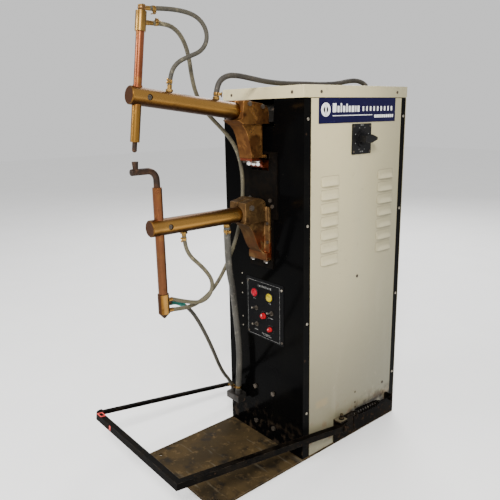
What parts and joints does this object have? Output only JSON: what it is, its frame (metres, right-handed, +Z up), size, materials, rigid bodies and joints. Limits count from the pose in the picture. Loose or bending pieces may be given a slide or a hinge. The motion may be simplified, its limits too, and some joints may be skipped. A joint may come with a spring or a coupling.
{
  "type": "spot welder",
  "caption": "Pedestal spot welder: louvred cabinet, water-cooled rocker arm over a fixed lower arm, bent lower electrode, foot pedal loop, tap switch and timer panel.",
  "frame": {"origin": "on the floor, on the centre plane, below the face of the front panel", "axes": "+Z up, the arms reach out towards -Y, the side with the tap switch is +X"},
  "size_m": [0.5192, 1.0375, 1.3983],
  "materials": {
    "black_board": "fibre board",
    "black_label": "gloss",
    "black_paint": "semi-gloss",
    "black_plastic": "satin",
    "blue_plate": "satin",
    "braided_hose": "braided",
    "brass": "turned",
    "bright_steel": "turned",
    "bronze": "machined",
    "bronze_bar": "tarnished",
    "brown_plastic": "phenolic",
    "cast_bronze": "rough cast",
    "chrome_lever": "polished",
    "copper_strip": "laminated copper",
    "copper_tube": "tarnished copper",
    "core_steel": "varnished laminations",
    "cream_paint": "satin",
    "dark_bolt": "blackened",
    "dark_copper": "heat darkened copper",
    "dark_steel": "satin",
    "gloss_black_paint": "high gloss",
    "green_board": "satin",
    "red_lens": "clear red",
    "red_plastic": "gloss",
    "rusty_steel": "worn, rusted",
    "spring_steel": "oiled",
    "winding": "varnished tape",
    "worn_black": "worn",
    "yellow_lens": "clear yellow",
    "zinc_screw": "zinc plated"
  },
  "bodies": {
    "frame": {"arm_to_electrode_hose": "braided_hose", "base_plate": "rusty_steel", "bent_electrode": "dark_copper", "cabinet_frame": "black_paint", "cabinet_screws": "zinc_screw", "cable_gland": "black_plastic", "control_plate": "black_label", "flexible_shunt": "copper_strip", "front_panel": "gloss_black_paint", "head_bracket": "dark_steel", "hex_bolts": "dark_bolt", "left_side_cover": "cream_paint", "link_hose": "braided_hose", "lower_arm": "bronze_bar", "lower_arm_fittings": "brass", "lower_arm_holder": "cast_bronze", "lower_electrode_holder": "copper_tube", "lower_water_head": "brass", "mains_lamp": "red_lens", "nameplate": "blue_plate", "pedal_brackets": "worn_black", "primary_coils": "winding", "rear_panel": "cream_paint", "rear_water_outlet": "brass", "return_hose": "braided_hose", "return_spring": "spring_steel", "right_side_cover": "cream_paint", "rocker_shaft": "bright_steel", "secondary_copper": "copper_strip", "selector_plate": "black_plastic", "supply_hose": "braided_hose", "tap_switch": "brown_plastic", "taped_hose": "braided_hose", "terminal_insulators": "black_board", "timer_board": "green_board", "toggle_bodies": "zinc_screw", "top_cap": "cream_paint", "transformer_core": "core_steel", "water_manifold": "dark_steel", "weld_lamp": "yellow_lens"},
    "pedal": {"pedal_loop": "worn_black", "pedal_shaft": "dark_steel", "pedal_crank": "dark_steel"},
    "rocker": {"rocker_bushes": "bronze", "rocker_beam": "dark_steel", "upper_arm_holder": "cast_bronze", "upper_clamp_bolts": "dark_bolt", "upper_arm": "bronze_bar", "upper_electrode_holder": "copper_tube", "upper_electrode_tip": "dark_copper", "upper_water_head": "brass", "upper_arm_fittings": "brass", "jumper_hose": "braided_hose"},
    "push_rod": {"push_rod": "bright_steel"},
    "selector": {"selector_knob": "black_plastic"},
    "time_knob": {"weld_time_knob": "red_plastic"},
    "heat_knob": {"heat_knob": "red_plastic"},
    "toggle_left": {"toggle_lever_left": "chrome_lever"},
    "toggle_right": {"toggle_lever_right": "chrome_lever"},
    "toggle_lower": {"toggle_lever_lower": "chrome_lever"}
  },
  "joints": [
    {"name": "pedal_press", "type": "hinge", "parent": "frame", "child": "pedal", "pos_m": [0, 0.183, 0.063], "axis": [1, 0, 0], "range_deg": [0, 7.6], "stiffness_Nm_per_rad": 60, "springref_deg": -40.11, "deforming": ["return_spring"]},
    {"name": "upper_arm_rock", "type": "hinge", "parent": "frame", "child": "rocker", "pos_m": [0, 0.05, 1.12], "axis": [1, 0, 0], "range_deg": [0, 2.56], "deforming": ["link_hose", "return_hose", "flexible_shunt"]},
    {"name": "push_rod_swing", "type": "hinge", "parent": "pedal", "child": "push_rod", "pos_m": [0, 0.25, 0.063], "axis": [1, 0, 0], "range_deg": [-7.7, 0.5]},
    {"name": "selector_turn", "type": "hinge", "parent": "frame", "child": "selector", "pos_m": [0.2, 0.257, 1.04], "axis": [1, 0, 0], "range_deg": [0, 315]},
    {"name": "time_knob_turn", "type": "hinge", "parent": "frame", "child": "time_knob", "pos_m": [0.005, -0.01, 0.464], "axis": [0, -1, 0], "range_deg": [-135, 135]},
    {"name": "heat_knob_turn", "type": "hinge", "parent": "frame", "child": "heat_knob", "pos_m": [0.037, -0.01, 0.424], "axis": [0, -1, 0], "range_deg": [-135, 135]},
    {"name": "toggle_left_flip", "type": "hinge", "parent": "frame", "child": "toggle_left", "pos_m": [-0.033, 0.003, 0.483], "axis": [1, 0, 0], "range_deg": [0, 24]},
    {"name": "toggle_right_flip", "type": "hinge", "parent": "frame", "child": "toggle_right", "pos_m": [0.043, 0.003, 0.482], "axis": [1, 0, 0], "range_deg": [0, 24]},
    {"name": "toggle_lower_flip", "type": "hinge", "parent": "frame", "child": "toggle_lower", "pos_m": [-0.031, 0.003, 0.426], "axis": [1, 0, 0], "range_deg": [0, 24]}
  ],
  "couplings": [
    {"joint": "upper_arm_rock", "follows": "pedal_press", "ratio": 0.335},
    {"joint": "push_rod_swing", "follows": "pedal_press", "ratio": -1}
  ]
}
